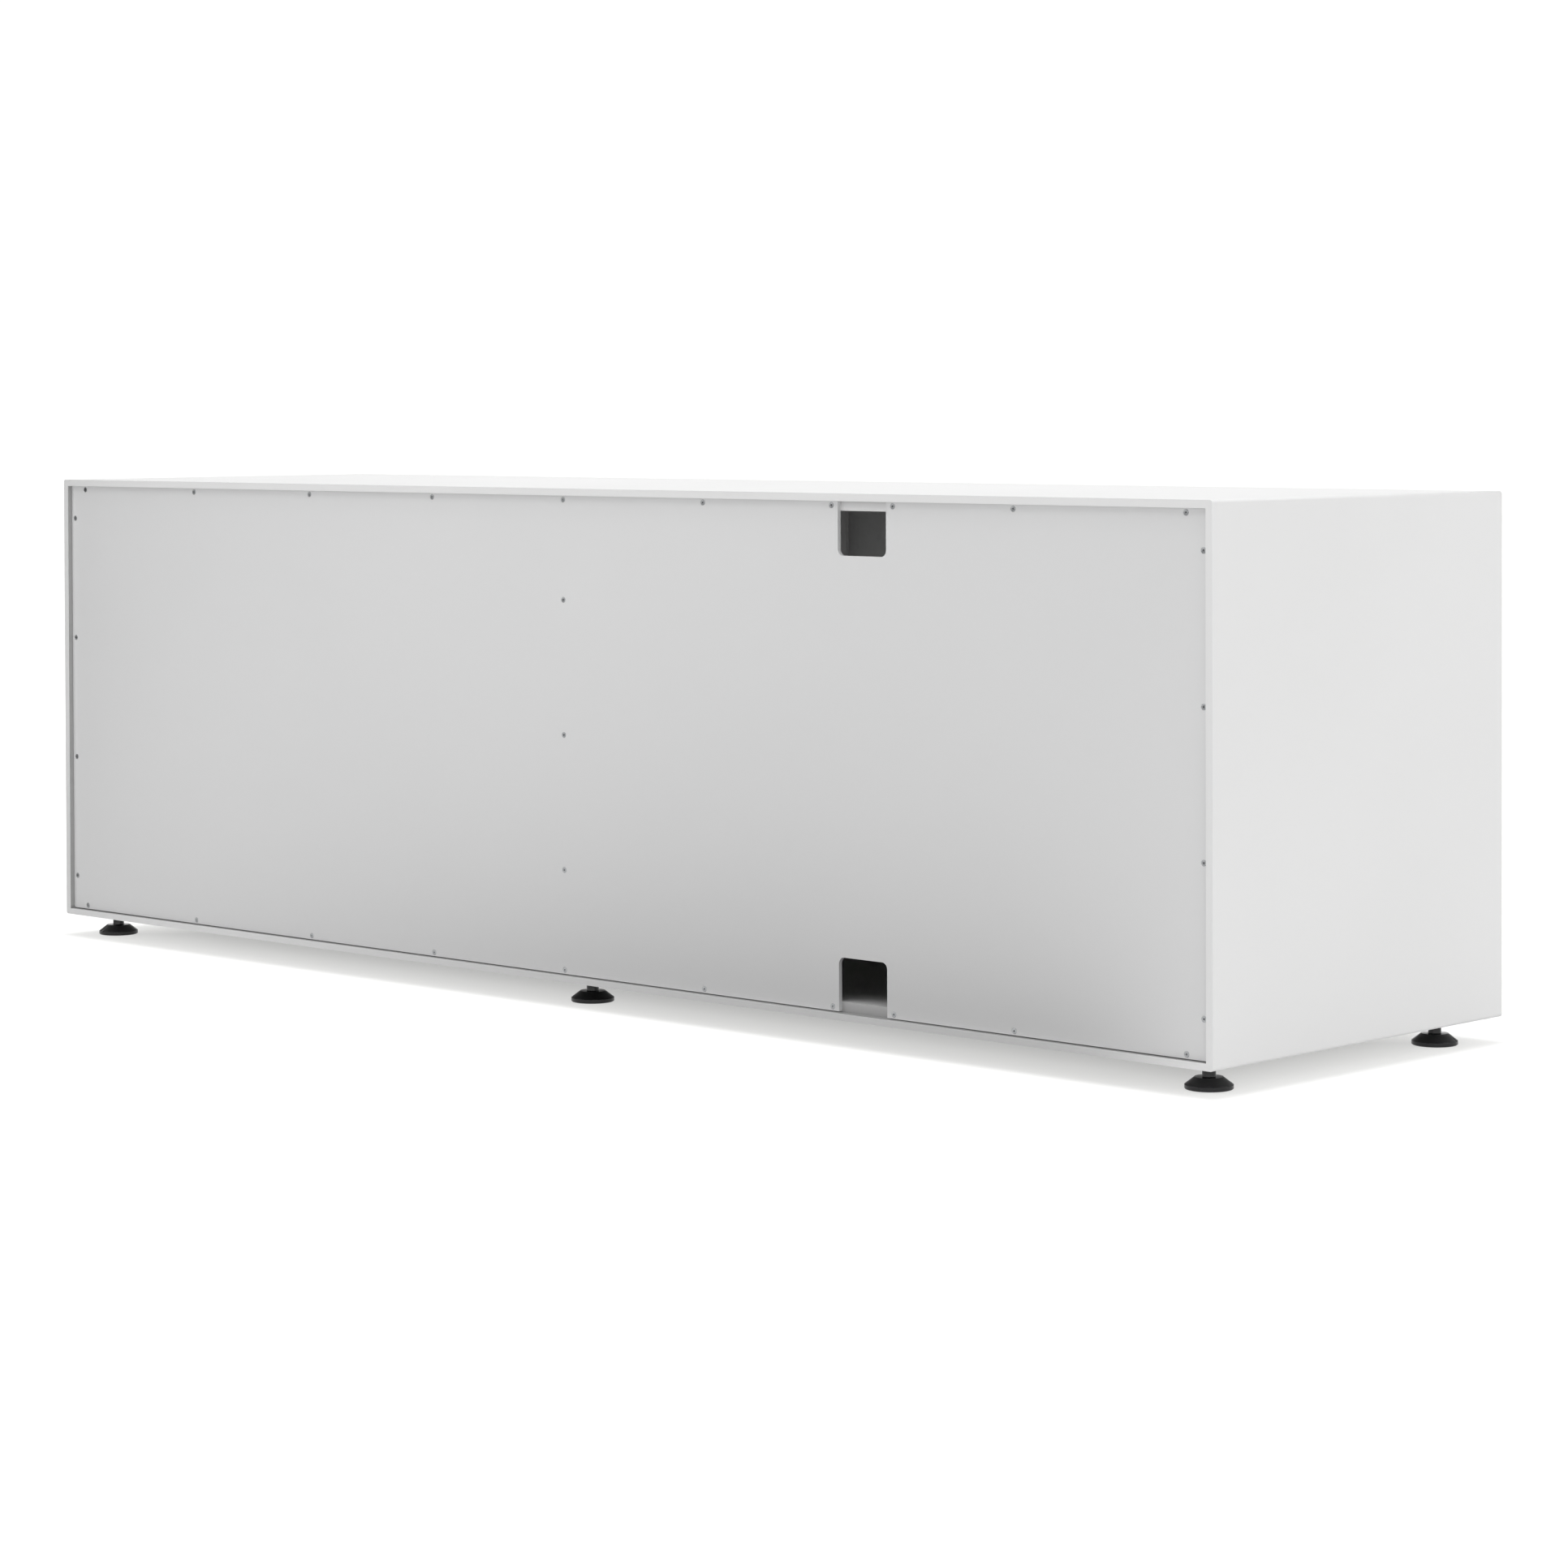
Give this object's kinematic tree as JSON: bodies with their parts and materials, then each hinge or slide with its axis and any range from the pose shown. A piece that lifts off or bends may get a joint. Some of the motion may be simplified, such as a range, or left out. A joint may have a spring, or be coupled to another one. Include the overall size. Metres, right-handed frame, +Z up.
{
  "type": "tv stand with doors",
  "caption": "Low white cabinet for a television: mitred case on levelling feet, inset pivoting doors with push latches, shelves, and a screwed-on back with cable cut-outs.",
  "frame": {"origin": "middle of the footprint, on the floor under the feet", "axes": "+Z up; -Y is the front with the doors, +Y the screwed-on back; +X is to the right seen from the front"},
  "size_m": [1.8, 0.48, 0.566],
  "materials": {
    "white_lacquer": "white satin lacquer on medium-density fibreboard",
    "back_board": "white painted thin fibreboard, matt",
    "zinc_steel": "zinc-plated steel, satin",
    "black_steel": "black-oxide steel",
    "black_plastic": "black moulded plastic, fine satin",
    "white_nylon": "natural nylon, satin",
    "grey_plastic": "light grey moulded plastic, matt",
    "beech": "bare beech"
  },
  "bodies": {
    "case": {"top_panel": "white_lacquer", "bottom_panel": "white_lacquer", "left_side": "white_lacquer", "right_side": "white_lacquer", "back_panel": "back_board", "centre_partition": "white_lacquer", "left_shelf": "white_lacquer", "right_shelf": "white_lacquer", "shelf_pins": "zinc_steel", "back_screws": "zinc_steel", "mitre_splines": "beech", "partition_dowels": "beech", "foot_bushes": "zinc_steel", "pivot_bushes": "white_nylon", "latch_housings": "grey_plastic", "latch_screws": "zinc_steel", "outer_left_latch_spring": "zinc_steel", "inner_left_latch_spring": "zinc_steel", "inner_right_latch_spring": "zinc_steel", "outer_right_latch_spring": "zinc_steel"},
    "outer_left_door": {"outer_left_door": "white_lacquer", "outer_left_door_pins": "zinc_steel", "outer_left_strike": "zinc_steel"},
    "inner_left_door": {"inner_left_door": "white_lacquer", "inner_left_door_pins": "zinc_steel", "inner_left_strike": "zinc_steel"},
    "inner_right_door": {"inner_right_door": "white_lacquer", "inner_right_door_pins": "zinc_steel", "inner_right_strike": "zinc_steel"},
    "outer_right_door": {"outer_right_door": "white_lacquer", "outer_right_door_pins": "zinc_steel", "outer_right_strike": "zinc_steel"},
    "outer_left_plunger": {"outer_left_plunger": "white_nylon"},
    "inner_left_plunger": {"inner_left_plunger": "white_nylon"},
    "inner_right_plunger": {"inner_right_plunger": "white_nylon"},
    "outer_right_plunger": {"outer_right_plunger": "white_nylon"},
    "rear_left_foot": {"rear_left_foot": "black_plastic", "rear_left_foot_stud": "black_steel"},
    "rear_middle_foot": {"rear_middle_foot": "black_plastic", "rear_middle_foot_stud": "black_steel"},
    "rear_right_foot": {"rear_right_foot": "black_plastic", "rear_right_foot_stud": "black_steel"},
    "front_left_foot": {"front_left_foot": "black_plastic", "front_left_foot_stud": "black_steel"},
    "front_middle_foot": {"front_middle_foot": "black_plastic", "front_middle_foot_stud": "black_steel"},
    "front_right_foot": {"front_right_foot": "black_plastic", "front_right_foot_stud": "black_steel"}
  },
  "joints": [
    {"name": "outer_left_door_swing", "type": "hinge", "parent": "case", "child": "outer_left_door", "pos_m": [-0.863, -0.233, 0.296], "axis": [0, 0, -1], "range_deg": [0, 90]},
    {"name": "inner_left_door_swing", "type": "hinge", "parent": "case", "child": "inner_left_door", "pos_m": [-0.0175, -0.233, 0.296], "axis": [0, 0, 1], "range_deg": [0, 90]},
    {"name": "inner_right_door_swing", "type": "hinge", "parent": "case", "child": "inner_right_door", "pos_m": [0.0175, -0.233, 0.296], "axis": [0, 0, -1], "range_deg": [0, 90]},
    {"name": "outer_right_door_swing", "type": "hinge", "parent": "case", "child": "outer_right_door", "pos_m": [0.863, -0.233, 0.296], "axis": [0, 0, 1], "range_deg": [0, 90]},
    {"name": "outer_left_latch_press", "type": "slide", "parent": "case", "child": "outer_left_plunger", "axis": [0, 1, 0], "range_m": [0, 0.003], "stiffness_N_per_m": 500, "springref_m": -0.008, "deforming": ["outer_left_latch_spring"]},
    {"name": "inner_left_latch_press", "type": "slide", "parent": "case", "child": "inner_left_plunger", "axis": [0, 1, 0], "range_m": [0, 0.003], "stiffness_N_per_m": 500, "springref_m": -0.008, "deforming": ["inner_left_latch_spring"]},
    {"name": "inner_right_latch_press", "type": "slide", "parent": "case", "child": "inner_right_plunger", "axis": [0, 1, 0], "range_m": [0, 0.003], "stiffness_N_per_m": 500, "springref_m": -0.008, "deforming": ["inner_right_latch_spring"]},
    {"name": "outer_right_latch_press", "type": "slide", "parent": "case", "child": "outer_right_plunger", "axis": [0, 1, 0], "range_m": [0, 0.003], "stiffness_N_per_m": 500, "springref_m": -0.008, "deforming": ["outer_right_latch_spring"]},
    {"name": "rear_left_foot_height", "type": "slide", "parent": "case", "child": "rear_left_foot", "axis": [0, 0, 1], "range_m": [0, 0.008]},
    {"name": "rear_middle_foot_height", "type": "slide", "parent": "case", "child": "rear_middle_foot", "axis": [0, 0, 1], "range_m": [0, 0.008]},
    {"name": "rear_right_foot_height", "type": "slide", "parent": "case", "child": "rear_right_foot", "axis": [0, 0, 1], "range_m": [0, 0.008]},
    {"name": "front_left_foot_height", "type": "slide", "parent": "case", "child": "front_left_foot", "axis": [0, 0, 1], "range_m": [0, 0.008]},
    {"name": "front_middle_foot_height", "type": "slide", "parent": "case", "child": "front_middle_foot", "axis": [0, 0, 1], "range_m": [0, 0.008]},
    {"name": "front_right_foot_height", "type": "slide", "parent": "case", "child": "front_right_foot", "axis": [0, 0, 1], "range_m": [0, 0.008]}
  ]
}
